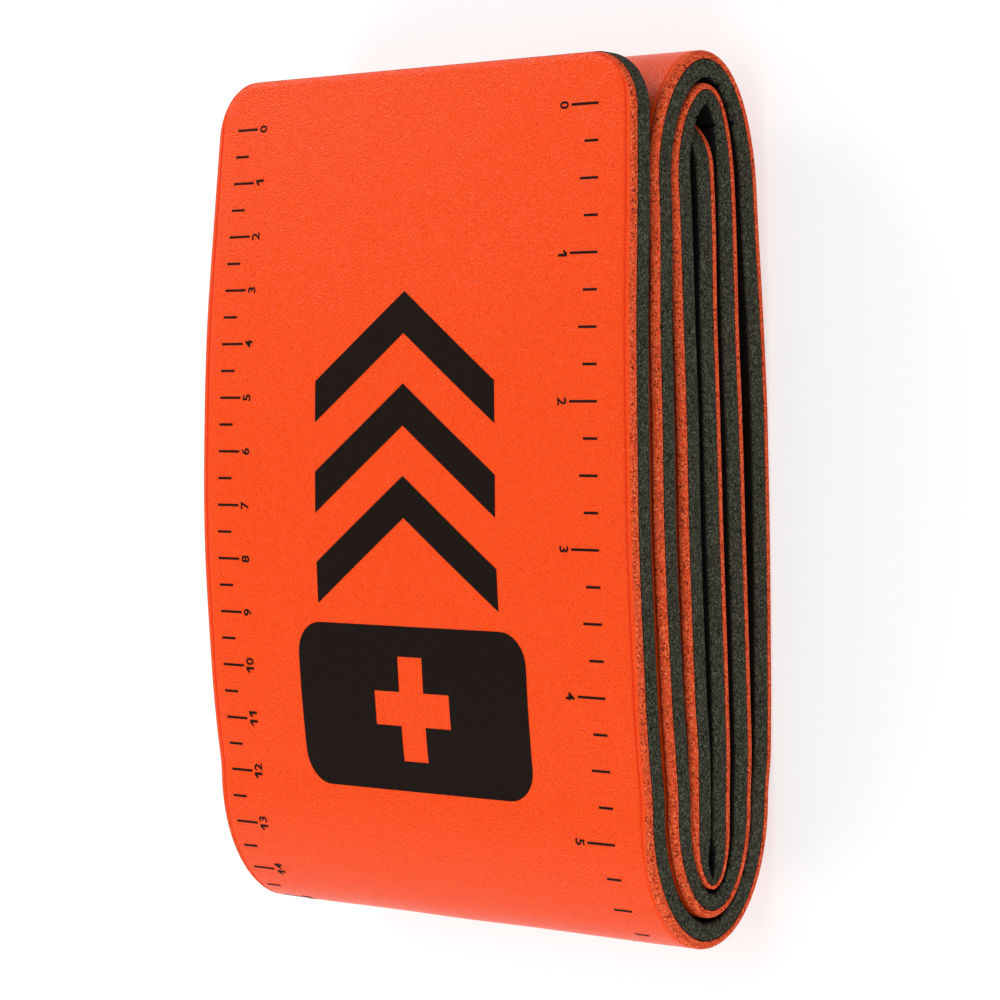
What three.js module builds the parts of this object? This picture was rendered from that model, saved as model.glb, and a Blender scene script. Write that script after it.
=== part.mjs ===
import * as THREE from "three";

// Foam splint, millimetres. One strip about 914 long, soft foam on both sides of a thin metal
// sheet, is rolled flat into six layers and lies on its back layer, printed face up.
// X runs across the strip, Y along the folded pack, Z up from the surface it rests on.

// The strip itself
const stripWidth = 110;
const outerFoam = 1.6;
const innerFoam = 3.3;
const coreThickness = 0.4;
const bondGap = 0.3;
const edgeSeal = 3;
const faceInset = 0.4;
const cornerRadius = 10;
const pinchLength = 5;
const pinchedEdge = 1;
const pinchShare = 0.5;

// The folded pack
const packLength = 155;
const layerGap = 1.5;
const bendGap = 0.8;
const backLift = 1.4;
const looseEndStop = 0.5;
const tuckedEndStop = 3.3;

// How finely the fold is cut into flat facets, and how close two cuts may stand
const flatSteps = 13;
const bendSteps = 12;
const cornerSteps = 5;
const closestCuts = 0.01;

// Air between neighbouring layers, as shares of layerGap, and lift of the back layer off the
// surface, as a share of backLift. Layer 1 lies on the surface and layer 6 is the printed face.
// A row stands at a share of the flat run, from the bottom bends (0) to the top bends (1).
const stack = [
  { at: 0, lift: 0.64, gap12: 0.28, gap23: 0.41, gap34: 0.2, gap45: 0.31, gap56: 0.68 },
  { at: 0.08, lift: 0.08, gap12: 0.58, gap23: 0.52, gap34: 0.38, gap45: 0.65, gap56: 0.86 },
  { at: 0.18, lift: 0, gap12: 0.83, gap23: 0.53, gap34: 0.72, gap45: 0.76, gap56: 0.84 },
  { at: 0.48, lift: 0, gap12: 1.32, gap23: 0.6, gap34: 0.81, gap45: 1.03, gap56: 0.83 },
  { at: 0.62, lift: 0, gap12: 1.38, gap23: 0.57, gap34: 0.7, gap45: 0.96, gap56: 0.87 },
  { at: 0.76, lift: 0.2, gap12: 1.3, gap23: 0.45, gap34: 0.73, gap45: 0.81, gap56: 0.74 },
  { at: 1, lift: 0.69, gap12: 0.57, gap23: 0.25, gap34: 1.02, gap45: 0.22, gap56: 0.4 },
];

// The bends in the order in which the strip runs through them, from the loose end of layer 6
// to the end tucked in between layers 2 and 4. nest counts the bends outside this one, stretch
// is how much deeper than half its width the bend is, squeeze is the share of the foams'
// thickness that is left at its tip, and sag is how far the tip hangs below its middle.
const bends = [
  { from: 6, to: 1, side: -1, nest: 0, stretch: 1.6, squeeze: 0.94, sag: 0.07 },
  { from: 1, to: 5, side: 1, nest: 0, stretch: 1.86, squeeze: 0.98, sag: 1.58 },
  { from: 5, to: 2, side: -1, nest: 1, stretch: 1.94, squeeze: 0.87, sag: 0.16 },
  { from: 2, to: 4, side: 1, nest: 1, stretch: 2.43, squeeze: 0.75, sag: 1.72 },
  { from: 4, to: 3, side: -1, nest: 2, stretch: 2.45, squeeze: 0.42, sag: 0.16 },
];

const foamThickness = outerFoam + innerFoam;
const hollowStart = edgeSeal - bondGap;

// Height of the line between the two foams in each layer, from layer 1 up.
function layerHeights(row) {
  const first = row.lift * backLift + outerFoam;
  const second = first + foamThickness + row.gap12 * layerGap;
  const third = second + foamThickness + row.gap23 * layerGap;
  const fourth = third + 2 * innerFoam + row.gap34 * layerGap;
  const fifth = fourth + foamThickness + row.gap45 * layerGap;
  const sixth = fifth + foamThickness + row.gap56 * layerGap;
  return [first, second, third, fourth, fifth, sixth];
}

const heightRows = stack.map(layerHeights);

// Each bend is half an ellipse that joins two layers, and fits inside the bend outside it. A
// bend that sags is drawn down towards its tip.
const bendShapes = [];
bends.forEach((bend) => {
  const row = bend.side < 0 ? heightRows[0] : heightRows[heightRows.length - 1];
  const start = row[bend.from - 1];
  const end = row[bend.to - 1];
  const outside = bendShapes.find((b) => b.side === bend.side && b.nest === bend.nest - 1);
  const reach = outside ? outside.roof - bendGap : packLength / 2;
  const tip = reach - outerFoam * bend.squeeze;
  const roof = tip - innerFoam * bend.squeeze;
  const swing = (start - end) / 2;
  const middle = (start + end) / 2;
  const depth = Math.abs(swing) * bend.stretch;
  bendShapes.push({ ...bend, swing, middle, depth, roof, centre: bend.side * (tip - depth) });
});

const centresAt = (side) => bendShapes.filter((b) => b.side === side).map((b) => b.centre);
const flatBottom = Math.max(...centresAt(-1));
const flatTop = Math.min(...centresAt(1));

// Slope of a layer at each row: level where it bends, and free at the loose end.
function rowSlopes(heights, loose) {
  const last = heights.length - 1;
  const rise = (i) => (heights[i + 1] - heights[i]) / (stack[i + 1].at - stack[i].at);
  return heights.map((height, i) => {
    if (i === last && loose) return rise(last - 1);
    if (i === 0 || i === last) return 0;
    const before = rise(i - 1);
    const after = rise(i);
    return before * after > 0 ? (2 * before * after) / (before + after) : 0;
  });
}

// Height of a layer's foam line at a place along the pack.
function layerHeight(layer, y) {
  const loose = layer === bends[0].from;
  const heights = heightRows.map((row) => row[layer - 1]);
  const slopes = rowSlopes(heights, loose);
  const place = (y - flatBottom) / (flatTop - flatBottom);
  const at = THREE.MathUtils.clamp(place, 0, 1);
  let i = 0;
  while (i < stack.length - 2 && at > stack[i + 1].at) i += 1;
  const span = stack[i + 1].at - stack[i].at;
  const t = (at - stack[i].at) / span;
  const rise = heights[i + 1] - heights[i];
  const startBulge = t * (1 - t) * (1 - t) * span * slopes[i];
  const endBulge = t * t * (1 - t) * span * slopes[i + 1];
  const past = loose ? Math.max(place - 1, 0) * slopes[stack.length - 1] : 0;
  return heights[i] + t * t * (3 - 2 * t) * rise + startBulge - endBulge + past;
}

// Places along a layer, with extra ones near a free end for its corners and its seal.
function flatPlaces(from, to, freeAtStart, freeAtEnd) {
  const length = Math.abs(to - from);
  const nearEnd = [hollowStart - bondGap, hollowStart, edgeSeal, pinchLength];
  for (let k = 0; k <= cornerSteps; k += 1) {
    nearEnd.push(cornerRadius * (1 - Math.cos((k / cornerSteps) * (Math.PI / 2))));
  }
  const places = [];
  for (let k = 0; k <= flatSteps; k += 1) places.push((k / flatSteps) * length);
  const inEnd = (d) => (freeAtStart && d < cornerRadius) || (freeAtEnd && length - d < cornerRadius);
  const kept = places.filter((d) => !inEnd(d));
  if (freeAtStart) kept.push(...nearEnd);
  if (freeAtEnd) kept.push(...nearEnd.map((d) => length - d));
  kept.sort((a, b) => a - b);
  const direction = Math.sign(to - from);
  const apart = kept.filter((d, k) => k === 0 || d - kept[k - 1] > closestCuts);
  return apart.map((d) => from + direction * d);
}

// The fold seen from the side: points on the foam line, each with its outward normal.
function foldLine() {
  const line = [];
  const add = (y, z, ty, tz, left = 1) => {
    const size = Math.hypot(ty, tz);
    line.push({ y, z, ny: tz / size, nz: -ty / size, left });
  };
  const addFlat = (layer, from, to, freeAtStart, freeAtEnd) => {
    const direction = Math.sign(to - from);
    const places = flatPlaces(from, to, freeAtStart, freeAtEnd);
    places.forEach((y, k) => {
      if (k === 0 && line.length > 0) return;
      const rise = layerHeight(layer, y + closestCuts) - layerHeight(layer, y - closestCuts);
      add(y, layerHeight(layer, y), direction * 2 * closestCuts, direction * rise);
    });
  };
  const addBend = (bend) => {
    for (let k = 1; k <= bendSteps; k += 1) {
      const angle = (k / bendSteps) * Math.PI;
      const y = bend.centre + bend.side * bend.depth * Math.sin(angle);
      const z = bend.middle + bend.swing * Math.cos(angle) - bend.sag * Math.sin(angle) ** 2;
      const left = 1 - (1 - bend.squeeze) * Math.sin(angle);
      const alongY = bend.side * bend.depth * Math.cos(angle);
      const alongZ = -bend.swing * Math.sin(angle) - bend.sag * Math.sin(2 * angle);
      add(y, z, alongY, alongZ, left);
    }
  };
  let from = packLength / 2 - looseEndStop;
  bendShapes.forEach((bend, k) => {
    addFlat(bend.from, from, bend.centre, k === 0, false);
    addBend(bend);
    from = bend.centre;
  });
  const innerTopBend = bendShapes.filter((b) => b.side > 0).pop();
  const tuckedLayer = bends[bends.length - 1].to;
  addFlat(tuckedLayer, from, innerTopBend.roof - tuckedEndStop, false, true);
  let run = 0;
  line.forEach((point, k) => {
    if (k > 0) run += Math.hypot(point.y - line[k - 1].y, point.z - line[k - 1].z);
    point.run = run;
  });
  return line;
}

const line = foldLine();
const stripLength = line[line.length - 1].run;

// Distance to the nearer free end, and the strip's half width there with its round corners.
const toEnd = (run) => Math.min(run, stripLength - run);
function halfWidth(run, margin) {
  const left = Math.max(cornerRadius - toEnd(run), 0);
  const cut = cornerRadius - Math.sqrt(Math.max(cornerRadius ** 2 - left ** 2, 0));
  return stripWidth / 2 - margin - cut;
}

// Share of full thickness: 1 along the strip, falling to 0 at the tip of the tucked-in end.
function fullness(run) {
  const t = THREE.MathUtils.clamp((stripLength - run) / pinchLength, 0, 1);
  return Math.sqrt(1 - (1 - t) ** 2);
}

// A height above the foam line, drawn towards the pinched tip near the tucked-in end.
function pinched(height, run) {
  const tip = (height / foamThickness) * pinchedEdge - pinchShare * innerFoam;
  return tip + (height - tip) * fullness(run);
}

// Half width of the metal sheet, and depth of the hollow that each foam leaves for it.
const coreHalf = (run) => halfWidth(run, edgeSeal);
const hollowDepth = (run) => (toEnd(run) > hollowStart - bondGap / 2 ? coreThickness / 2 : 0);

// Sections across the strip: pairs of a place across it and a height above the foam line.
function foamSection(run, face, faceHeight, rim, floor) {
  const edge = halfWidth(run, 0);
  const mouth = coreHalf(run) + bondGap;
  const bed = mouth - bondGap / 2;
  return [
    [face, pinched(faceHeight, run)],
    [-face, pinched(faceHeight, run)],
    [-edge, pinched(rim, run)],
    [-mouth, pinched(rim, run)],
    [-bed, pinched(floor, run)],
    [bed, pinched(floor, run)],
    [mouth, pinched(rim, run)],
    [edge, pinched(rim, run)],
  ];
}

function outerSection({ run, left }) {
  const rim = bondGap / 2;
  return foamSection(run, halfWidth(run, faceInset), left * outerFoam, rim, rim + hollowDepth(run));
}

function innerSection({ run, left }) {
  const rim = -bondGap / 2;
  return foamSection(run, halfWidth(run, 0), -left * innerFoam, rim, rim - hollowDepth(run));
}

function coreSection({ run }) {
  const half = coreHalf(run) - bondGap;
  const upper = pinched(coreThickness / 2, run);
  const lower = pinched(-coreThickness / 2, run);
  return [[half, upper], [-half, upper], [-half, lower], [half, lower]];
}

// A closed solid from one section at each point of the fold.
function sweep(points, section, flipped) {
  const rings = points.map((point) =>
    section(point).map(([x, n]) => [x, point.y + n * point.ny, point.z + n * point.nz]),
  );
  const corners = rings[0].length;
  const index = [];
  const add = (a, b, c) => index.push(...(flipped ? [a, c, b] : [a, b, c]));
  for (let k = 0; k + 1 < rings.length; k += 1) {
    for (let j = 0; j < corners; j += 1) {
      const a = k * corners + j;
      const b = k * corners + ((j + 1) % corners);
      add(a, b, b + corners);
      add(a, b + corners, a + corners);
    }
  }
  const last = (rings.length - 1) * corners;
  for (let j = 1; j + 1 < corners; j += 1) {
    add(0, j + 1, j);
    add(last, last + j, last + j + 1);
  }
  const geometry = new THREE.BufferGeometry();
  geometry.setAttribute("position", new THREE.Float32BufferAttribute(rings.flat(2), 3));
  geometry.setIndex(index);
  geometry.computeVertexNormals();
  return geometry;
}

function piece(name, geometry, color, roughness, metalness) {
  const material = new THREE.MeshStandardMaterial({ color, roughness, metalness });
  const mesh = new THREE.Mesh(geometry, material);
  mesh.name = name;
  return mesh;
}

// Outer foam: the printed side, on the outside of every bend.
const outer = piece("outer_foam", sweep(line, outerSection, false), 0xf25a20, 0.55, 0);

// Inner foam: the thicker dark side, on the inside of every bend.
const inner = piece("inner_foam", sweep(line, innerSection, true), 0x38382f, 0.95, 0);

// Metal sheet: sealed between the foams, short of the strip's edges and ends.
const corePoints = line.filter((point) => toEnd(point.run) > edgeSeal - bondGap / 2);
const core = piece("aluminium_core", sweep(corePoints, coreSection, false), 0xb9bcc0, 0.4, 1);

const splint = new THREE.Group();
splint.add(outer, core, inner);

export default splint;
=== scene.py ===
import math

import bmesh
import bpy
import numpy as np
from mathutils import Matrix, Vector


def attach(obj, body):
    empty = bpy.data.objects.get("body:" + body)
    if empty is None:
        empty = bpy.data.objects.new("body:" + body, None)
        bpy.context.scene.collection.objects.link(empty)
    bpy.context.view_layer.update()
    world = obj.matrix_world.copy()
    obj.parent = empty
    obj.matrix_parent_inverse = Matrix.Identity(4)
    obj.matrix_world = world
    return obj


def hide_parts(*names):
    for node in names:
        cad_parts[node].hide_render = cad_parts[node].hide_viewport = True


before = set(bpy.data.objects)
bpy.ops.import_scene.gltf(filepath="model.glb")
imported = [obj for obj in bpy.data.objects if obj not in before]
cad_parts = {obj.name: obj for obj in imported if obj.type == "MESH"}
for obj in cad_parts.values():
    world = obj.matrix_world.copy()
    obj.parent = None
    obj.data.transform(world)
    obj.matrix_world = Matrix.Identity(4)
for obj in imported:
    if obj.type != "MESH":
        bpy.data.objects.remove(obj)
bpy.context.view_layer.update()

# Orange foam: the strip's outer face, a 1.6 mm closed-cell foam with a fine leathery skin.
# It is cut from a sheet together with the dark foam under it, so its long edges show open
# cells, and it lies on the outside of every bend. The strip is rolled flat into six layers.

strip_width = 0.110
orange_thickness = 0.0016
charcoal_thickness = 0.0033
sheet_thickness = 0.0004
foam_thickness = orange_thickness + charcoal_thickness
bond_gap = 0.00020
edge_seal = 0.003
corner_radius = 0.010
pinch_length = 0.007
pinched_edge = 0.001
pinch_share = 0.1

pack_length = 0.155
layer_gap = 0.0015
bend_gap = 0.0008
back_lift = 0.0014
loose_end_stop = 0.0005
tucked_end_stop = 0.0010

flat_step = 0.00125
bend_step = 0.0005
slope_step = 0.00001
end_stations = 26

# Air between the layers, from layer 1 on the floor to layer 6 with the print, as shares of
# layer_gap, and the lift of the back layer as a share of back_lift. A row stands at a share
# of the flat run, from the bottom bends to the top bends.
gap_columns = ("at", "lift", "gap12", "gap23", "gap34", "gap45", "gap56")
gap_rows = [
    (0.00, 0.64, 0.28, 0.41, 0.20, 0.31, 0.68),
    (0.08, 0.08, 0.58, 0.52, 0.38, 0.65, 0.86),
    (0.18, 0.00, 0.83, 0.53, 0.72, 0.76, 0.84),
    (0.48, 0.00, 1.32, 0.60, 0.81, 1.03, 0.83),
    (0.62, 0.00, 1.38, 0.57, 0.70, 0.96, 0.87),
    (0.76, 0.20, 1.30, 0.45, 0.73, 0.81, 0.74),
    (1.00, 0.69, 0.57, 0.25, 1.02, 0.22, 0.40),
]
stack = [dict(zip(gap_columns, row)) for row in gap_rows]

# The bends in the order in which the strip runs through them: the layers that each one joins,
# its side of the pack, how many bends lie outside it, its depth for half its width, the share
# of the foams' thickness that is left at its tip, and how far the tip sags.
bend_columns = ("start", "end", "side", "nest", "stretch", "squeeze", "sag")
bend_rows = [
    (6, 1, -1, 0, 1.60, 0.94, 0.00007),
    (1, 5, 1, 0, 1.86, 0.98, 0.00158),
    (5, 2, -1, 1, 1.94, 0.87, 0.00016),
    (2, 4, 1, 1, 2.43, 0.75, 0.00172),
    (4, 3, -1, 2, 2.45, 0.42, 0.00016),
]
bends = [dict(zip(bend_columns, row)) for row in bend_rows]


def layer_heights(row):
    """Height of the line between the two foams in each layer, from layer 1 up."""
    first = row["lift"] * back_lift + orange_thickness
    second = first + foam_thickness + row["gap12"] * layer_gap
    third = second + foam_thickness + row["gap23"] * layer_gap
    fourth = third + 2 * charcoal_thickness + row["gap34"] * layer_gap
    fifth = fourth + foam_thickness + row["gap45"] * layer_gap
    sixth = fifth + foam_thickness + row["gap56"] * layer_gap
    return (first, second, third, fourth, fifth, sixth)


height_rows = [layer_heights(row) for row in stack]

for bend in bends:
    row = height_rows[0] if bend["side"] < 0 else height_rows[-1]
    outside = [b for b in bends if b["side"] == bend["side"] and b["nest"] == bend["nest"] - 1]
    reach = outside[0]["roof"] - bend_gap if outside else pack_length / 2
    tip = reach - orange_thickness * bend["squeeze"]
    bend["roof"] = tip - charcoal_thickness * bend["squeeze"]
    bend["swing"] = (row[bend["start"] - 1] - row[bend["end"] - 1]) / 2
    bend["middle"] = (row[bend["start"] - 1] + row[bend["end"] - 1]) / 2
    bend["depth"] = abs(bend["swing"]) * bend["stretch"]
    bend["centre"] = bend["side"] * (tip - bend["depth"])

flat_bottom = max(b["centre"] for b in bends if b["side"] < 0)
flat_top = min(b["centre"] for b in bends if b["side"] > 0)


def row_slopes(heights, loose):
    """Slope of a layer at each row: level where it bends, and free at the loose end."""
    rises = [
        (high - low) / (after["at"] - before["at"])
        for low, high, before, after in zip(heights, heights[1:], stack, stack[1:])
    ]
    slopes = [0.0]
    for before, after in zip(rises, rises[1:]):
        slopes.append(2 * before * after / (before + after) if before * after > 0 else 0.0)
    slopes.append(rises[-1] if loose else 0.0)
    return slopes


def layer_height(layer, y):
    """Height of a layer's foam line at a place along the pack."""
    loose = layer == bends[0]["start"]
    heights = [row[layer - 1] for row in height_rows]
    slopes = row_slopes(heights, loose)
    place = (y - flat_bottom) / (flat_top - flat_bottom)
    at = min(max(place, 0.0), 1.0)
    i = 0
    while i < len(stack) - 2 and at > stack[i + 1]["at"]:
        i += 1
    span = stack[i + 1]["at"] - stack[i]["at"]
    t = (at - stack[i]["at"]) / span
    rise = heights[i + 1] - heights[i]
    bulge = t * (1 - t) * span * ((1 - t) * slopes[i] - t * slopes[i + 1])
    past = max(place - 1, 0.0) * slopes[-1] if loose else 0.0
    return heights[i] + t * t * (3 - 2 * t) * rise + bulge + past


def fold_line():
    """Points of the foam line from the loose end: y, z, outward normal along both, squeeze."""
    points = []

    def add(y, z, along_y, along_z, squeeze=1.0):
        size = math.hypot(along_y, along_z)
        points.append((y, z, along_z / size, -along_y / size, squeeze))

    def add_flat(layer, start, end):
        direction = math.copysign(1, end - start)
        steps = math.ceil(abs(end - start) / flat_step)
        for k in range(0 if not points else 1, steps + 1):
            y = start + (end - start) * k / steps
            rise = layer_height(layer, y + slope_step) - layer_height(layer, y - slope_step)
            add(y, layer_height(layer, y), direction * 2 * slope_step, direction * rise)

    def add_bend(bend):
        steps = math.ceil(math.pi * (bend["depth"] + abs(bend["swing"])) / 2 / bend_step)
        for k in range(1, steps + 1):
            angle = math.pi * k / steps
            y = bend["centre"] + bend["side"] * bend["depth"] * math.sin(angle)
            z = bend["middle"] + bend["swing"] * math.cos(angle) - bend["sag"] * math.sin(angle) ** 2
            squeeze = 1 - (1 - bend["squeeze"]) * math.sin(angle)
            along_y = bend["side"] * bend["depth"] * math.cos(angle)
            along_z = -bend["swing"] * math.sin(angle) - bend["sag"] * math.sin(2 * angle)
            add(y, z, along_y, along_z, squeeze)

    place = pack_length / 2 - loose_end_stop
    for bend in bends:
        add_flat(bend["start"], place, bend["centre"])
        bend["first"] = len(points) - 1
        add_bend(bend)
        bend["last"] = len(points) - 1
        place = bend["centre"]
    inner_top_bend = [b for b in bends if b["side"] > 0][-1]
    add_flat(bends[-1]["end"], place, inner_top_bend["roof"] - tucked_end_stop)
    return np.array(points)


line = fold_line()
line_run = np.concatenate([[0], np.cumsum(np.hypot(np.diff(line[:, 0]), np.diff(line[:, 1])))])
strip_length = line_run[-1]

# Extra stations close to both free ends, for their round corners and rounded edges.
near_end = corner_radius * (1 - np.cos(np.linspace(0, math.pi / 2, end_stations)))
stations = np.unique(np.concatenate([near_end, line_run, strip_length - near_end]).round(7))
stations = stations[np.concatenate([[True], np.diff(stations) > slope_step])]
for bend in bends:
    bend["run_start"] = line_run[bend["first"]]
    bend["run_end"] = line_run[bend["last"]]
line = np.stack([np.interp(stations, line_run, column) for column in line.T], axis=1)

# The pack isn't quite square. Both its ends lie higher at the right edge than at the left one: a
# lean has its side of the pack, where it starts, and that height at the end. The strip also
# wanders sideways a little from bend to bend, and the last column of line says how far.
lean_columns = ("side", "start", "height")
lean_rows = [(1, -0.0162, 0.0058), (-1, 0.010, 0.0020)]
leans = [dict(zip(lean_columns, row)) for row in lean_rows]
wander = (-0.0004, 0.0004, -0.0006, 0.0010, -0.0007, 0.0009, -0.0007)
wander_at = [0, *((b["run_start"] + b["run_end"]) / 2 for b in bends), strip_length]
line = np.concatenate([line, np.interp(stations, wander_at, wander)[:, None]], axis=1)


def place_on_pack(x, height, rows):
    """Places of points of the strip, given across it and by height off the foam line. Where the
    pack leans onto the floor, its soft back is pressed flat."""
    y = rows[:, 0, None] + height * rows[:, 2, None]
    z = rows[:, 1, None] + height * rows[:, 3, None]
    for lean in leans:
        share = np.clip(y * lean["side"] - lean["start"], 0, None) / (pack_length / 2 - lean["start"])
        z = z + lean["height"] * share**2 * x / strip_width
    z = np.maximum(z, 0)
    return np.stack([x + rows[:, 5, None], y, z], axis=-1)


def half_width(run, margin):
    """Half the strip's width at a place along it, with its round corners."""
    to_end = np.minimum(run, strip_length - run)
    short = np.clip(corner_radius - to_end, 0, corner_radius)
    cut = corner_radius - np.sqrt(corner_radius**2 - short**2)
    return strip_width / 2 - margin - cut


def edge_distance(x, run):
    """Distance from a point of the strip to its cut outline."""
    to_side = strip_width / 2 - np.abs(x)
    to_end = np.minimum(run, strip_length - run)
    short_side = np.clip(corner_radius - to_side, 0, None)
    short_end = np.clip(corner_radius - to_end, 0, None)
    in_corner = (short_side > 0) & (short_end > 0)
    from_centre = corner_radius - np.hypot(short_side, short_end)
    return np.clip(np.where(in_corner, from_centre, np.minimum(to_side, to_end)), 0, None)


tiny = 1e-12


def end_share(x, run):
    """How much the nearest cut edge is an end of the strip: 0 at its sides, 1 at its ends."""
    short_side = np.clip(corner_radius - (strip_width / 2 - np.abs(x)), 0, None)
    short_end = np.clip(corner_radius - np.minimum(run, strip_length - run), 0, None)
    return short_end**2 / np.clip(short_side**2 + short_end**2, tiny, None)


def pinched(height, run):
    """A height above the foam line, drawn towards the pinched tip of the tucked-in end."""
    t = np.clip((strip_length - run) / pinch_length, 0, 1)
    fullness = np.sqrt(1 - (1 - t) ** 2)
    tip = height / foam_thickness * pinched_edge - pinch_share * charcoal_thickness
    return tip + (height - tip) * fullness


sharp_angle = 40


def strip_piece(name, rings, attributes=()):
    """A closed mesh from rings of points, one ring at each station, with caps at both ends."""
    count, corners = rings.shape[:2]
    index = np.arange(count * corners).reshape(count, corners)
    ahead = np.roll(index, -1, axis=1)
    quads = np.stack([index[:-1], ahead[:-1], ahead[1:], index[1:]], axis=-1).reshape(-1, 4)
    faces = quads.tolist() + [index[0, ::-1].tolist(), index[-1].tolist()]
    mesh = bpy.data.meshes.new(name)
    mesh.from_pydata(rings.reshape(-1, 3).tolist(), [], faces)
    for label, values in attributes:
        layer = mesh.attributes.new(label, "FLOAT", "POINT")
        layer.data.foreach_set("value", values.ravel().astype(np.float32))
    mesh.shade_smooth()
    mesh.set_sharp_from_angle(angle=math.radians(sharp_angle))
    piece = bpy.data.objects.new(name, mesh)
    bpy.context.collection.objects.link(piece)
    return piece


swell_count = 7
swell_length_x = (0.030, 0.090)
swell_length_run = (0.022, 0.060)


def gentle_waves(x, run, height, seed):
    """Soft low swells of a foam surface, the same on each run of the script."""
    draw = np.random.default_rng(seed)
    swell = 0
    for _ in range(swell_count):
        length_x, length_run = draw.uniform(*swell_length_x), draw.uniform(*swell_length_run)
        phase = draw.uniform(0, 2 * math.pi, 2)
        wave_x = np.sin(2 * math.pi * x / length_x + phase[0])
        wave_run = np.sin(2 * math.pi * run / length_run + phase[1])
        swell = swell + wave_x * wave_run
    return height * swell / swell_count


# The printed face falls a little over its border, has a pressed crease close to its edge, and rounds
# off into the cut edge.
# The crease is also coloured darker, as painted shade in the pressed line.
orange_bevel = 0.0012
orange_rim = 0.00070
end_sharpness = 3.0
step_back = 0.00018
crease_place = 0.00155
crease_width = 0.00020
crease_depth = 0.00018
cut_on_face = 0.0007
cut_past_bevel = 1.05
cut_fade = 0.2
border_width = 0.006
border_fall = 0.00035
swell_height = 0.00014
swell_fade = 0.006

# Places of the face's columns, in from the cut edge, and over the middle of the strip.
edge_columns = np.array([0.0, 0.02, 0.07, 0.16, 0.29, 0.46, 0.66, 0.84, 1.0]) * orange_bevel
crease_columns = crease_place + np.array([-1.6, -0.8, 0, 0.8, 1.6, 3.5]) * crease_width
side_columns = np.concatenate([edge_columns, crease_columns])
middle_count = 41
middle_columns = np.linspace(1, -1, middle_count)
column_gap = 0.001

squeeze = line[:, 4]


def across(insets):
    """Columns from the right edge to the left one at every station, as places across."""
    edge = half_width(stations, 0)[:, None]
    right = edge - insets[None, :]
    middle = (edge - insets[-1] - column_gap) * middle_columns[None, :]
    return np.concatenate([right, middle, -right[:, ::-1]], axis=1)


def rounded(distance, bevel, low, high):
    """Height of a surface that rounds off towards its cut edge."""
    t = np.clip(distance / bevel, 0, 1)
    return low + (high - low) * np.sqrt(1 - (1 - t) ** 2)


face_x = across(side_columns)
face_run = np.broadcast_to(stations[:, None], face_x.shape)
face_edge = edge_distance(face_x, face_run)
skin = orange_thickness * squeeze[:, None]
swell_share = np.clip(face_edge / swell_fade, 0, 1)
skin = skin + gentle_waves(face_x, face_run, swell_height, seed=3) * swell_share
side_edge = face_edge * (1 + end_sharpness * end_share(face_x, face_run))

# 1 on the printed layer, falling to 0 just past the start of the first bend.
on_face = np.clip((bends[0]["run_start"] - face_run) / corner_radius + 1, 0, 1)

skin = skin - border_fall * on_face * np.clip(1 - side_edge / border_width, 0, 1) ** 2
skin = rounded(side_edge, orange_bevel, orange_rim, skin)
crease_share = np.exp(-(((side_edge - crease_place) / crease_width) ** 2))
skin = skin - crease_depth * crease_share
face_height = pinched(skin, face_run)
cut_back = stations + step_back * np.clip(1 - stations / corner_radius, 0, 1)
orange_line = np.stack([np.interp(cut_back, stations, column) for column in line.T], axis=1)
face_grid = place_on_pack(face_x, face_height, orange_line)

sheet_half = half_width(stations, edge_seal)
hollow = np.where(np.minimum(stations, strip_length - stations) > edge_seal - bond_gap, 1.0, 0.0)
hollow = hollow * sheet_thickness / 2


def bond_side(sign, rows):
    """The side of a foam that is glued to the sheet: a shallow bed between two flat rims."""
    rim = np.full_like(stations, sign * bond_gap / 2)
    bed = rim + sign * hollow
    edge = half_width(stations, 0)
    places = [-edge, -sheet_half, -sheet_half + bond_gap, sheet_half - bond_gap, sheet_half, edge]
    levels = [rim, rim, bed, bed, rim, rim]
    x = np.stack(places, axis=1)
    height = pinched(np.stack(levels, axis=1), stations[:, None])
    return place_on_pack(x, height, rows)


orange_bond = bond_side(1, orange_line)
orange_rings = np.concatenate([face_grid, orange_bond], axis=1)
cut_reach = orange_bevel * cut_past_bevel + (cut_on_face - orange_bevel) * on_face
face_cut = np.clip((cut_reach - side_edge) / (orange_bevel * cut_fade), 0, 1)
orange_cut = np.concatenate([face_cut, np.ones(orange_bond.shape[:2])], axis=1)
# Where the crease's painted shade lies: on the printed layer only.
orange_crease_shade_mask = np.concatenate([on_face * crease_share, np.zeros(orange_bond.shape[:2])], axis=1)
orange_marks = [("cut_edge", orange_cut), ("crease", orange_crease_shade_mask)]
orange_foam = strip_piece("orange_foam", orange_rings, orange_marks)


def new_group(name, inputs, outputs):
    """An empty shader node group with named sockets."""
    group = bpy.data.node_groups.new(name, "ShaderNodeTree")
    for label, kind, value in inputs:
        socket = group.interface.new_socket(label, in_out="INPUT", socket_type=kind)
        if value is not None:
            socket.default_value = value
    for label, kind in outputs:
        group.interface.new_socket(label, in_out="OUTPUT", socket_type=kind)
    return group, group.nodes.new("NodeGroupInput"), group.nodes.new("NodeGroupOutput")


def add_node(tree, kind, **values):
    """A node with its settings and input values. A value that is a socket is linked, and a
    key such as i0 names an input by its place."""
    node = tree.nodes.new(kind)
    for key, value in values.items():
        if hasattr(node, key):
            setattr(node, key, value)
            continue
        by_place = key[0] == "i" and key[1:].isdigit()
        socket = node.inputs[int(key[1:]) if by_place else key.replace("_", " ")]
        if isinstance(value, bpy.types.NodeSocket):
            tree.links.new(value, socket)
        else:
            socket.default_value = value
    return node
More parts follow.
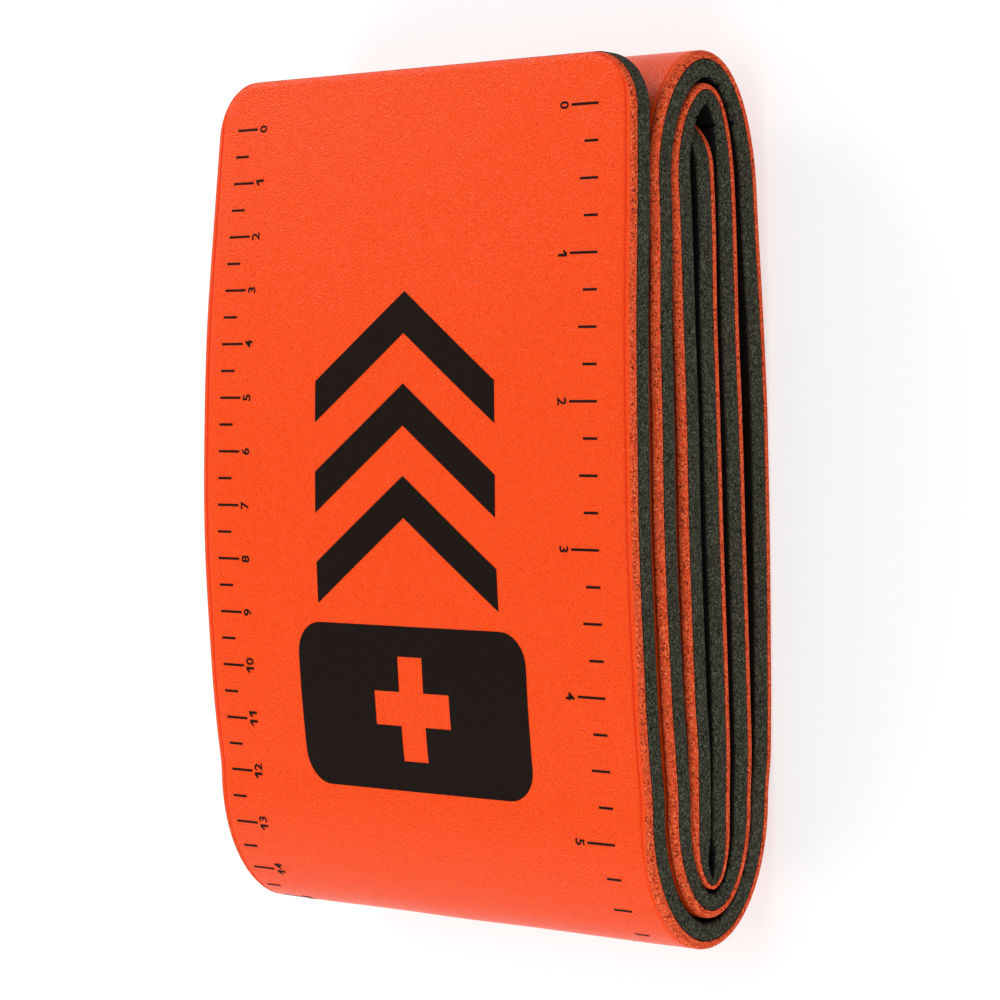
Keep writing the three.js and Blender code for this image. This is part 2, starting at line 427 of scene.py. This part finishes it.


# Leathery skin: fine pebbles with shallow valleys between them, and a few larger soft marks. The
# colour moves to the valley colour where the relief is low; on both foams that colour is darker,
# painted shade in the valleys.
skin_group, skin_in, skin_out = new_group(
    "leathery_skin",
    [
        ("Vector", "NodeSocketVector", None),
        ("Pebbles per metre", "NodeSocketFloat", 1500.0),
        ("Colour", "NodeSocketColor", (1, 1, 1, 1)),
        ("Valley colour", "NodeSocketColor", (0, 0, 0, 1)),
    ],
    [("Colour", "NodeSocketColor"), ("Height", "NodeSocketFloat")],
)
skin_bend = add_node(
    skin_group, "ShaderNodeTexNoise", Vector=skin_in.outputs["Vector"], Scale=600.0, Detail=2.0
)
skin_shift = add_node(
    skin_group, "ShaderNodeVectorMath", operation="SCALE", i0=skin_bend.outputs["Color"]
)
skin_shift.inputs["Scale"].default_value = 0.0006
skin_moved = add_node(
    skin_group,
    "ShaderNodeVectorMath",
    operation="ADD",
    i0=skin_in.outputs["Vector"],
    i1=skin_shift.outputs["Vector"],
)
skin_cells = add_node(
    skin_group,
    "ShaderNodeTexVoronoi",
    feature="SMOOTH_F1",
    Vector=skin_moved.outputs["Vector"],
    Scale=skin_in.outputs["Pebbles per metre"],
    Smoothness=0.5,
)
skin_mix = add_node(skin_group, "ShaderNodeMix", data_type="RGBA")
skin_group.links.new(skin_cells.outputs["Distance"], skin_mix.inputs["Factor"])
skin_group.links.new(skin_in.outputs["Colour"], skin_mix.inputs["A"])
skin_group.links.new(skin_in.outputs["Valley colour"], skin_mix.inputs["B"])
skin_height = add_node(
    skin_group,
    "ShaderNodeMath",
    operation="MULTIPLY",
    i0=skin_cells.outputs["Distance"],
    i1=-1.0,
)
skin_group.links.new(skin_mix.outputs["Result"], skin_out.inputs["Colour"])
skin_group.links.new(skin_height.outputs["Value"], skin_out.inputs["Height"])

# Cut cells: the open cells of sliced foam, each a shallow cup, some deep and dark, and thin bright
# walls between them.
# The dark cells are painted shade in the deep pores, and the light cells are a painted highlight on
# the thin walls; both are picked at random.
cells_group, cells_in, cells_out = new_group(
    "cut_cells",
    [
        ("Vector", "NodeSocketVector", None),
        ("Cells per metre", "NodeSocketFloat", 3000.0),
        ("Pore share", "NodeSocketFloat", 0.3),
        ("Wall share", "NodeSocketFloat", 0.3),
        ("Foam colour", "NodeSocketColor", (1, 1, 1, 1)),
        ("Pore colour", "NodeSocketColor", (0, 0, 0, 1)),
        ("Wall colour", "NodeSocketColor", (1, 1, 1, 1)),
    ],
    [("Colour", "NodeSocketColor"), ("Height", "NodeSocketFloat")],
)
cells = add_node(
    cells_group,
    "ShaderNodeTexVoronoi",
    feature="F1",
    Vector=cells_in.outputs["Vector"],
    Scale=cells_in.outputs["Cells per metre"],
)
cell_tone = add_node(cells_group, "ShaderNodeSeparateColor", Color=cells.outputs["Color"])


def share_pick(tone, share):
    """A mask of the cells whose random tone falls in the top share, strongest at the top."""
    start = add_node(cells_group, "ShaderNodeMath", operation="SUBTRACT", i0=1.0, i1=share)
    return add_node(
        cells_group, "ShaderNodeMapRange", Value=tone, From_Min=start.outputs["Value"]
    )


pore_shade_pick = share_pick(cell_tone.outputs["Red"], cells_in.outputs["Pore share"])
wall_highlight_pick = share_pick(cell_tone.outputs["Green"], cells_in.outputs["Wall share"])
pore_shade_mix = add_node(cells_group, "ShaderNodeMix", data_type="RGBA")
cells_group.links.new(pore_shade_pick.outputs["Result"], pore_shade_mix.inputs["Factor"])
cells_group.links.new(cells_in.outputs["Foam colour"], pore_shade_mix.inputs["A"])
cells_group.links.new(cells_in.outputs["Pore colour"], pore_shade_mix.inputs["B"])
wall_highlight_mix = add_node(cells_group, "ShaderNodeMix", data_type="RGBA")
cells_group.links.new(wall_highlight_pick.outputs["Result"], wall_highlight_mix.inputs["Factor"])
cells_group.links.new(pore_shade_mix.outputs["Result"], wall_highlight_mix.inputs["A"])
cells_group.links.new(cells_in.outputs["Wall colour"], wall_highlight_mix.inputs["B"])
cells_group.links.new(wall_highlight_mix.outputs["Result"], cells_out.inputs["Colour"])
cells_group.links.new(cell_tone.outputs["Blue"], cells_out.inputs["Height"])


def new_material(name, roughness):
    """A material with a Principled shader, and the nodes that its sockets are fed from."""
    material = bpy.data.materials.new(name)
    material.use_nodes = True
    tree = material.node_tree
    shader = tree.nodes["Principled BSDF"]
    shader.inputs["Roughness"].default_value = roughness
    return material, tree, shader


def place_group(tree, group, vector, **values):
    """One of the shared effects, with this material's own values."""
    node = tree.nodes.new("ShaderNodeGroup")
    node.node_tree = group
    tree.links.new(vector, node.inputs["Vector"])
    for key, value in values.items():
        node.inputs[key.replace("_", " ")].default_value = value
    return node


def dress_foam(tree, shader, cut_mask, face_colour, skin_effect, cells_effect, relief_depth):
    """Skin on the foam's faces and open cells on its cut edges, in colour and in relief."""
    surface_mix = add_node(tree, "ShaderNodeMix", data_type="RGBA")
    tree.links.new(cut_mask.outputs["Fac"], surface_mix.inputs["Factor"])
    tree.links.new(face_colour, surface_mix.inputs["A"])
    tree.links.new(cells_effect.outputs["Colour"], surface_mix.inputs["B"])
    tree.links.new(surface_mix.outputs["Result"], shader.inputs["Base Color"])
    relief = add_node(tree, "ShaderNodeMix", data_type="FLOAT")
    tree.links.new(cut_mask.outputs["Fac"], relief.inputs["Factor"])
    tree.links.new(skin_effect.outputs["Height"], relief.inputs["A"])
    tree.links.new(cells_effect.outputs["Height"], relief.inputs["B"])
    bump = add_node(tree, "ShaderNodeBump", Strength=1.0, Distance=relief_depth)
    tree.links.new(relief.outputs["Result"], bump.inputs["Height"])
    tree.links.new(bump.outputs["Normal"], shader.inputs["Normal"])


orange_colour = (0.84, 0.069, 0.002, 1)
# Painted shade: the valleys of the skin's grain are darker than its pebbles.
orange_valley_shade = (0.64, 0.036, 0.001, 1)
# Painted shade: the crease turns a darker, deeper orange.
orange_crease_shade = (0.66, 0.026, 0.002, 1)
orange_cut_colour = (0.68, 0.068, 0.017, 1)
# Painted shade in the deep pores and a painted highlight on the cell walls of the cut edge.
orange_pore_shade = (0.08, 0.006, 0.003, 1)
orange_wall_highlight = (0.90, 0.18, 0.065, 1)
orange_roughness = 0.30
orange_cut_roughness = 0.85
orange_relief = 0.00013

orange_material, tree, shader = new_material("orange_foam_skin", orange_roughness)
place = add_node(tree, "ShaderNodeTexCoord")
cut_mask = add_node(tree, "ShaderNodeAttribute", attribute_name="cut_edge")
skin_effect = place_group(
    tree,
    skin_group,
    place.outputs["Object"],
    Pebbles_per_metre=3100.0,
    Colour=orange_colour,
    Valley_colour=orange_valley_shade,
)
cells_effect = place_group(
    tree,
    cells_group,
    place.outputs["Object"],
    Cells_per_metre=4000.0,
    Pore_share=0.42,
    Wall_share=0.35,
    Foam_colour=orange_cut_colour,
    Pore_colour=orange_pore_shade,
    Wall_colour=orange_wall_highlight,
)
# Painted shade along the crease, mixed over the skin's colour.
crease_shade_line = add_node(tree, "ShaderNodeAttribute", attribute_name="crease")
crease_shade_mix = add_node(tree, "ShaderNodeMix", data_type="RGBA")
tree.links.new(crease_shade_line.outputs["Fac"], crease_shade_mix.inputs["Factor"])
tree.links.new(skin_effect.outputs["Colour"], crease_shade_mix.inputs["A"])
crease_shade_mix.inputs["B"].default_value = orange_crease_shade
face_colour = crease_shade_mix.outputs["Result"]
dress_foam(tree, shader, cut_mask, face_colour, skin_effect, cells_effect, orange_relief)
rough_mix = add_node(
    tree,
    "ShaderNodeMapRange",
    Value=cut_mask.outputs["Fac"],
    To_Min=orange_roughness,
    To_Max=orange_cut_roughness,
)
tree.links.new(rough_mix.outputs["Result"], shader.inputs["Roughness"])
shader.inputs["Specular IOR Level"].default_value = 0.11
orange_foam.data.materials.append(orange_material)

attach(orange_foam, "root")
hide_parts("outer_foam")

# Charcoal foam: the thicker inner face, a soft closed-cell foam about 3.3 mm thick, glued over
# the sheet. Its cut edge shows fine open cells, and its inner face creases where it is bent.
# Its inner face is coloured near black, far darker than its cut edge: painted shade for the narrow
# gaps between the layers, where that face is seen.

charcoal_round = 0.00045
charcoal_corner = 0.0007
charcoal_bulge = 0.00008
wrinkle_width = 0.00024
wrinkle_flare = 1.3
wrinkle_wander = 0.0006
wrinkle_wave = (0.008, 0.02)

# Creases of the inner face: the bend they are in, their place along it and their depth.
wrinkle_columns = ("bend", "at", "depth")
wrinkle_rows = [
    (0, 0.30, 0.0004),
    (0, 0.47, 0.0005),
    (0, 0.58, 0.0009),
    (0, 0.66, 0.0007),
    (0, 0.77, 0.0009),
    (1, 0.22, 0.0010),
    (1, 0.31, 0.0007),
    (1, 0.39, 0.0012),
    (1, 0.46, 0.0006),
    (1, 0.76, 0.0003),
    (2, 0.38, 0.0004),
    (2, 0.52, 0.0006),
    (2, 0.64, 0.0010),
    (2, 0.74, 0.0008),
    (2, 0.88, 0.0008),
    (3, 0.30, 0.0007),
    (3, 0.48, 0.0009),
    (3, 0.66, 0.0006),
    (4, 0.30, 0.0003),
    (4, 0.55, 0.0004),
    (4, 0.80, 0.0004),
]
wrinkles = [dict(zip(wrinkle_columns, row)) for row in wrinkle_rows]


def wrinkle_depth(x, run):
    """How far the inner face is creased in at a point. The creases wander across the strip."""
    depth = np.zeros(np.broadcast(x, run).shape)
    draw = np.random.default_rng(11)
    for wrinkle in wrinkles:
        bend = bends[wrinkle["bend"]]
        first, last = bend["run_start"], bend["run_end"]
        shift = wrinkle_wander * np.sin(x / draw.uniform(*wrinkle_wave) + draw.uniform(0, 6))
        away = np.abs(run - (first + (last - first) * wrinkle["at"] + shift)) / wrinkle_width
        depth = depth + wrinkle["depth"] * np.exp(-(away**wrinkle_flare))
    return depth


charcoal_columns = np.array([0.0, 0.1, 0.3, 0.6, 1.0]) * charcoal_round
inner_x = across(charcoal_columns)[:, ::-1]
inner_run = np.broadcast_to(stations[:, None], inner_x.shape)
inner_edge = edge_distance(inner_x, inner_run)
inner_skin = charcoal_thickness * squeeze[:, None] - wrinkle_depth(inner_x, inner_run)
inner_skin = rounded(inner_edge, charcoal_round, inner_skin - charcoal_corner, inner_skin)
inner_grid = place_on_pack(inner_x, pinched(-inner_skin, inner_run), line)

# The cut edge bulges a little between the bond line and the inner face.
cut_levels = np.array([0.12, 0.3, 0.5, 0.72])
cut_top = bond_gap / 2
cut_depth = inner_skin[:, :1] - cut_top
cut_height = -(cut_top + cut_depth * cut_levels[None, :])
cut_bulge = charcoal_bulge * np.sin(math.pi * cut_levels)
edge_x = half_width(stations, 0)[:, None] + cut_bulge[None, :]
cut_height = pinched(cut_height, stations[:, None])
right_cut = place_on_pack(edge_x, cut_height, line)
left_cut = place_on_pack(-edge_x[:, ::-1], cut_height[:, ::-1], line)

charcoal_bond = bond_side(-1, line)[:, ::-1]
charcoal_rings = np.concatenate(
    [inner_grid, right_cut[:, ::-1], charcoal_bond, left_cut[:, ::-1]], axis=1
)
charcoal_cut = np.concatenate(
    [
        np.clip((charcoal_round - inner_edge) / charcoal_round, 0, 1),
        np.ones(right_cut.shape[:2]),
        np.ones(charcoal_bond.shape[:2]),
        np.ones(left_cut.shape[:2]),
    ],
    axis=1,
)
charcoal_foam = strip_piece("charcoal_foam", charcoal_rings, [("cut_edge", charcoal_cut)])

charcoal_colour = (0.036, 0.035, 0.023, 1)
# Painted shade: the inner face's skin is near black, though the foam is the same throughout.
charcoal_skin_shade = (0.005, 0.005, 0.004, 1)
# Painted shade: the valleys of the inner face's grain are darker still.
charcoal_valley_shade = (0.004, 0.004, 0.003, 1)
# Painted shade in the deep pores and a painted highlight on the cell walls of the cut edge.
charcoal_pore_shade = (0.001, 0.001, 0.001, 1)
charcoal_wall_highlight = (0.110, 0.107, 0.074, 1)
charcoal_roughness = 0.9
charcoal_relief = 0.00018

charcoal_material, tree, shader = new_material("charcoal_foam_cells", charcoal_roughness)
place = add_node(tree, "ShaderNodeTexCoord")
cut_mask = add_node(tree, "ShaderNodeAttribute", attribute_name="cut_edge")
skin_effect = place_group(
    tree,
    skin_group,
    place.outputs["Object"],
    Pebbles_per_metre=1600.0,
    Colour=charcoal_skin_shade,
    Valley_colour=charcoal_valley_shade,
)
cells_effect = place_group(
    tree,
    cells_group,
    place.outputs["Object"],
    Cells_per_metre=4000.0,
    Pore_share=0.5,
    Wall_share=0.3,
    Foam_colour=charcoal_colour,
    Pore_colour=charcoal_pore_shade,
    Wall_colour=charcoal_wall_highlight,
)
face_colour = skin_effect.outputs["Colour"]
dress_foam(tree, shader, cut_mask, face_colour, skin_effect, cells_effect, charcoal_relief)
shader.inputs["Specular IOR Level"].default_value = 0.1
charcoal_foam.data.materials.append(charcoal_material)

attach(charcoal_foam, "root")
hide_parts("inner_foam")

# Aluminium sheet: a soft rolled sheet 0.4 mm thick that keeps every bend it is given. It is
# sealed between the two foams, 3 mm short of their edges, so none of it shows.

sheet_clearance = 0.00005
sheet_play = 4 * bond_gap
sheet_columns = 9

sheet_edge = half_width(stations, edge_seal) - sheet_play
sheet_right_to_left = np.linspace(1, -1, sheet_columns)
sheet_places = np.concatenate([sheet_right_to_left, np.linspace(-1, 1, sheet_columns)])
sheet_levels = np.repeat([1.0, -1.0], sheet_columns) * (sheet_thickness / 2 - sheet_clearance)
kept = np.minimum(stations, strip_length - stations) > edge_seal + bond_gap
sheet_x = (sheet_edge[:, None] * sheet_places[None, :])[kept]
sheet_height = pinched(np.broadcast_to(sheet_levels, sheet_x.shape), stations[kept][:, None])
aluminium_sheet = strip_piece("aluminium_sheet", place_on_pack(sheet_x, sheet_height, line[kept]))

aluminium_material, tree, shader = new_material("rolled_aluminium", 0.38)
place = add_node(tree, "ShaderNodeTexCoord")
stretch = add_node(
    tree, "ShaderNodeMapping", Vector=place.outputs["Object"], Scale=(4000.0, 60.0, 60.0)
)
rolling = add_node(
    tree, "ShaderNodeTexNoise", Vector=stretch.outputs["Vector"], Scale=1.0, Detail=3.0
)
sheen = add_node(
    tree,
    "ShaderNodeMapRange",
    Value=rolling.outputs["Fac"],
    From_Min=0.3,
    From_Max=0.7,
    To_Min=0.28,
    To_Max=0.46,
)
tree.links.new(sheen.outputs["Result"], shader.inputs["Roughness"])
shader.inputs["Base Color"].default_value = (0.76, 0.77, 0.78, 1)
shader.inputs["Metallic"].default_value = 1.0
aluminium_sheet.data.materials.append(aluminium_material)

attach(aluminium_sheet, "root")
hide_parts("aluminium_core")

# Centimetre ruler: matt black ink screen-printed along the left edge of the orange face, before
# the strip is rolled. Its numbers stand on their side, with their tops towards the marks.

ink_gap = 0.00001
ink_thickness = 0.00004
ink_cut = 0.0012
ink_weld = 1e-7

middle_x = np.zeros((len(stations), 1))
skin_middle = place_on_pack(middle_x, orange_thickness * squeeze[:, None], orange_line)[:, 0]
skin_run = np.concatenate([[0], np.cumsum(np.linalg.norm(np.diff(skin_middle, axis=0), axis=1))])


def on_skin(x, run, lift):
    """Place on the orange face at a distance from the loose end, measured along its skin."""
    k = min(max(int(np.searchsorted(skin_run, run)) - 1, 0), len(skin_run) - 2)
    t = (run - skin_run[k]) / (skin_run[k + 1] - skin_run[k])
    ends = []
    for station in (k, k + 1):
        columns = face_x[station]
        j = min(max(int(np.searchsorted(-columns, -x)) - 1, 0), len(columns) - 2)
        u = (x - columns[j]) / (columns[j + 1] - columns[j])
        spot = face_grid[station, j] * (1 - u) + face_grid[station, j + 1] * u
        out = np.array([0, line[station, 2], line[station, 3]])
        ends.append(spot + lift * out)
    return ends[0] * (1 - t) + ends[1] * t


def bar(x, run, width, length, turn=0.0):
    """A flat bar as a list of corner points, with its middle at x and run."""
    corners = [(-1, -1), (1, -1), (1, 1), (-1, 1)]
    c, s = math.cos(turn), math.sin(turn)
    halves = [(a * width / 2, b * length / 2) for a, b in corners]
    return [(x + a * c - b * s, run + a * s + b * c) for a, b in halves]


def flat_mesh_of(curve):
    """The flat mesh of a curve or a line of type, as a bmesh."""
    holder = bpy.data.objects.new("outline", curve)
    bpy.context.collection.objects.link(holder)
    flat = bmesh.new()
    flat.from_mesh(holder.to_mesh())
    holder.to_mesh_clear()
    bpy.data.objects.remove(holder)
    return flat


def flat_outline(outlines):
    """A filled flat mesh from closed outlines, one inside another leaving a hole."""
    curve = bpy.data.curves.new("outline", "CURVE")
    curve.dimensions = "2D"
    curve.fill_mode = "BOTH"
    for outline in outlines:
        spline = curve.splines.new("POLY")
        spline.points.add(len(outline) - 1)
        for point, (a, b) in zip(spline.points, outline):
            point.co = (a, b, 0, 1)
        spline.use_cyclic_u = True
    return flat_mesh_of(curve)


# A heavy one with a flag, on a unit grid, and the weight and pitch of the other digits.
one_outline = [
    (0.00, 0.66),
    (0.30, 1.00),
    (0.56, 1.00),
    (0.56, 0.00),
    (0.33, 0.00),
    (0.33, 0.70),
    (0.12, 0.52),
]
digit_weight = 0.020
digit_pitch = 0.78


def number_shape(text, x, run, height, turn):
    """A number as flat meshes, centred on x and run and turned, with its digits this high."""
    c, s = math.cos(turn), math.sin(turn)
    shapes = []
    for place, digit in enumerate(text):
        if digit == "1":
            shape = flat_outline([one_outline])
        else:
            type_curve = bpy.data.curves.new("digit", "FONT")
            type_curve.body = digit
            type_curve.offset = digit_weight
            type_curve.resolution_u = 3
            shape = flat_mesh_of(type_curve)
        lows = [min(v.co[i] for v in shape.verts) for i in range(2)]
        highs = [max(v.co[i] for v in shape.verts) for i in range(2)]
        size = height / (highs[1] - lows[1])
        step = (place - (len(text) - 1) / 2) * digit_pitch * height
        for v in shape.verts:
            a = (v.co[0] - (lows[0] + highs[0]) / 2) * size + step
            b = (v.co[1] - (lows[1] + highs[1]) / 2) * size
            v.co = (x + a * c - b * s, run - (a * s + b * c), 0)
        shapes.append(shape)
    return shapes


def printed(name, shapes):
    """Ink of flat shapes, given by x and distance from the loose end, laid on the face."""
    sheet = bmesh.new()
    for shape in shapes:
        mesh = bpy.data.meshes.new("shape")
        shape.to_mesh(mesh)
        shape.free()
        sheet.from_mesh(mesh)
        bpy.data.meshes.remove(mesh)
    for axis in (0, 1):
        low = min(v.co[axis] for v in sheet.verts)
        high = max(v.co[axis] for v in sheet.verts)
        normal = [0, 0, 0]
        normal[axis] = 1
        for k in range(1, int((high - low) / ink_cut) + 1):
            place = [0, 0, 0]
            place[axis] = low + k * ink_cut
            everything = sheet.verts[:] + sheet.edges[:] + sheet.faces[:]
            bmesh.ops.bisect_plane(
                sheet, geom=everything, plane_co=place, plane_no=normal, dist=ink_weld
            )
    bmesh.ops.dissolve_degenerate(sheet, dist=ink_weld, edges=sheet.edges[:])
    for v in sheet.verts:
        v.co = on_skin(v.co.x, v.co.y, ink_gap + ink_thickness)
    bmesh.ops.recalc_face_normals(sheet, faces=sheet.faces[:])
    if sum(f.normal.z * f.calc_area() for f in sheet.faces) < 0:
        bmesh.ops.reverse_faces(sheet, faces=sheet.faces[:])
    for edge in sheet.edges:
        edge.smooth = not edge.is_boundary
    mesh = bpy.data.meshes.new(name)
    sheet.to_mesh(mesh)
    sheet.free()
    mesh.shade_smooth()
    piece = bpy.data.objects.new(name, mesh)
    bpy.context.collection.objects.link(piece)
    skin_of_ink = piece.modifiers.new("ink", "SOLIDIFY")
    skin_of_ink.thickness = ink_thickness
    skin_of_ink.offset = -1
    mesh.materials.append(ink_material)
    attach(piece, "root")


ink_material, tree, shader = new_material("black_ink", 0.55)
place = add_node(tree, "ShaderNodeTexCoord")
ink_grain = place_group(
    tree,
    skin_group,
    place.outputs["Object"],
    Pebbles_per_metre=1300.0,
    Colour=(0.005, 0.003, 0.002, 1),
    Valley_colour=(0.009, 0.004, 0.002, 1),
)
tree.links.new(ink_grain.outputs["Colour"], shader.inputs["Base Color"])
shader.inputs["Specular IOR Level"].default_value = 0.05
bump = add_node(tree, "ShaderNodeBump", Strength=0.35, Distance=0.0001)
tree.links.new(ink_grain.outputs["Height"], bump.inputs["Height"])
tree.links.new(bump.outputs["Normal"], shader.inputs["Normal"])

mark_width = 0.00044
centimetre = 0.010
centimetre_zero = 0.0090
centimetre_edge = -0.0488
centimetre_askew = 0.0192
centimetre_whole = 0.0057
centimetre_half = 0.0037
centimetre_number = 0.0021
number_gap = 0.0007
last_centimetre = 15

centimetre_shapes = []
for half_steps in range(2 * last_centimetre + 1):
    run = centimetre_zero + half_steps * centimetre / 2
    whole = half_steps % 2 == 0
    length = centimetre_whole if whole else centimetre_half
    edge = centimetre_edge - centimetre_askew * (run - centimetre_zero)
    mark = bar(edge + length / 2, run, length, mark_width)
    centimetre_shapes.append(flat_outline([mark]))
    if whole:
        number_x = edge + length + number_gap + centimetre_number / 2
        centimetre_shapes += number_shape(
            str(half_steps // 2), number_x, run, centimetre_number, math.pi / 2
        )
printed("centimetre_ruler", centimetre_shapes)

# Inch ruler: the same black ink along the right edge, with quarter, half and whole marks. Its
# numbers stand to the left of the marks and are turned the other way.

inch = 0.0254
inch_zero = 0.0089
inch_edge = 0.0471

# Length of a mark by how many quarters of an inch it lies past a whole inch.
inch_marks = {0: 0.0065, 1: 0.0033, 2: 0.0043, 3: 0.0033}
inch_number = 0.0021
last_inch = 6

inch_shapes = []
for quarters in range(4 * last_inch + 1):
    run = inch_zero + quarters * inch / 4
    length = inch_marks[quarters % 4]
    inch_shapes.append(flat_outline([bar(inch_edge - length / 2, run, length, mark_width)]))
    if quarters % 4 == 0:
        number_x = inch_edge - length - number_gap - inch_number / 2
        inch_shapes += number_shape(
            str(quarters // 4), number_x, run, inch_number, -math.pi / 2
        )
printed("inch_ruler", inch_shapes)

# Printed panel: the same black ink between the rulers. Three chevrons point to the loose end,
# and a wide plate below them leaves a plus open in the orange.

panel_x = -0.0005
chevron_width = 0.046
chevron_stroke = 0.0075
chevron_rise = 0.016
chevron_step = 0.0165
chevron_first = 0.040
chevron_count = 3
plate_size = (0.058, 0.030)
plate_run = 0.115
plate_corner = 0.006
plate_steps = 8
plus_size = 0.019
plus_arm = 0.0062


def chevron(x, run):
    """An upward chevron with square ends."""
    half, rise, stroke = chevron_width / 2, chevron_rise, chevron_stroke
    return [
        (x - half, run + rise),
        (x, run),
        (x + half, run + rise),
        (x + half, run + rise + stroke),
        (x, run + stroke),
        (x - half, run + rise + stroke),
    ]


def round_plate(x, run, width, length, corner):
    """A rounded rectangle as an outline."""
    outline = []
    for sx, sy, start in ((1, 1, 0), (-1, 1, 90), (-1, -1, 180), (1, -1, 270)):
        middle_x = x + sx * (width / 2 - corner)
        middle_run = run + sy * (length / 2 - corner)
        for k in range(plate_steps + 1):
            angle = math.radians(start + 90 * k / plate_steps)
            corner_x, corner_run = corner * math.cos(angle), corner * math.sin(angle)
            outline.append((middle_x + corner_x, middle_run + corner_run))
    return outline


def plus(x, run, size, arm):
    """A plus sign as an outline."""
    far, near = size / 2, arm / 2
    signs = [(1, 1), (-1, 1), (-1, -1), (1, -1)]
    outline = []
    for k, (sx, sy) in enumerate(signs):
        first, second = (far, near), (near, far)
        if k % 2:
            first, second = second, first
        for a, b in (first, (near, near), second):
            outline.append((x + sx * a, run + sy * b))
    return outline


chevron_runs = [chevron_first + k * chevron_step for k in range(chevron_count)]
panel_shapes = [flat_outline([chevron(panel_x, run)]) for run in chevron_runs]
plate = round_plate(panel_x, plate_run, *plate_size, plate_corner)
panel_shapes.append(flat_outline([plate, plus(panel_x, plate_run, plus_size, plus_arm)]))
printed("panel_print", panel_shapes)

# Floor: a wide pale board that the pack lies on, lit from below as a light table is, so that
# it stays white and the shadow on it is soft.

half_floor = 2.0
floor_grey = 0.33
floor_glow = 0.64

floor_mesh = bpy.data.meshes.new("floor")
floor_signs = [(-1, -1), (1, -1), (1, 1), (-1, 1)]
floor_corners = [(a * half_floor, b * half_floor, 0) for a, b in floor_signs]
floor_mesh.from_pydata(floor_corners, [], [(0, 1, 2, 3)])
floor = bpy.data.objects.new("floor", floor_mesh)
bpy.context.collection.objects.link(floor)
floor_material, tree, shader = new_material("pale_floor", 0.9)
shader.inputs["Base Color"].default_value = (floor_grey, floor_grey, floor_grey, 1)
shader.inputs["Specular IOR Level"].default_value = 0.1
shader.inputs["Emission Color"].default_value = (1, 1, 1, 1)
shader.inputs["Emission Strength"].default_value = floor_glow
floor_mesh.materials.append(floor_material)

# Light: a wide soft sky, a lamp over the printed face, one from its left that gives it a sheen,
# one towards the top bends, and one that fills the cut edge and the bottom bend from the right.

sky_strength = 0.56

world = bpy.data.worlds.new("soft_sky")
bpy.context.scene.world = world
world.use_nodes = True
world.node_tree.nodes["Background"].inputs["Color"].default_value = (1, 1, 1, 1)
world.node_tree.nodes["Background"].inputs["Strength"].default_value = sky_strength


def soft_lamp(name, place, target, size, power):
    """A square area lamp that faces a point."""
    lamp = bpy.data.lights.new(name, "AREA")
    lamp.size = size
    lamp.energy = power
    holder = bpy.data.objects.new(name, lamp)
    bpy.context.collection.objects.link(holder)
    holder.location = place
    holder.rotation_euler = (Vector(target) - Vector(place)).to_track_quat("-Z", "Y").to_euler()


pack_middle = (0, 0, 0.018)
soft_lamp("top_lamp", (0.10, 0.15, 1.15), pack_middle, 0.8, 4.4)
soft_lamp("left_lamp", (-0.56, -0.68, 0.62), pack_middle, 0.5, 3.8)
soft_lamp("bend_lamp", (-0.77, 0.66, 0.42), pack_middle, 0.4, 6)
soft_lamp("edge_lamp", (0.60, -0.70, 0.45), pack_middle, 0.8, 4)

# Camera: above the floor, about 45 degrees to the face and to the cut edge. Its place, turn
# and focal length follow from the printed rulers and the outline in the photograph.

camera_place = (0.508429, 0.022882, 0.531895)
camera_forward = Vector((-0.698831, -0.032770, -0.714536)).normalized()
camera_right = Vector((0.715090, -0.008552, -0.698980))
image_size = 1000
focal_pixels = 3981.5
sensor_width = 36.0

camera_data = bpy.data.cameras.new("camera")
camera_data.sensor_width = sensor_width
camera_data.lens = focal_pixels / image_size * sensor_width
camera_data.clip_start = 0.01
camera = bpy.data.objects.new("camera", camera_data)
bpy.context.collection.objects.link(camera)
camera_right = (camera_right - camera_forward * camera_right.dot(camera_forward)).normalized()
camera_up = camera_right.cross(camera_forward)
turn = Matrix((camera_right, camera_up, -camera_forward)).transposed().to_4x4()
camera.matrix_world = Matrix.Translation(camera_place) @ turn
bpy.context.scene.camera = camera
bpy.context.scene.view_settings.view_transform = "Standard"
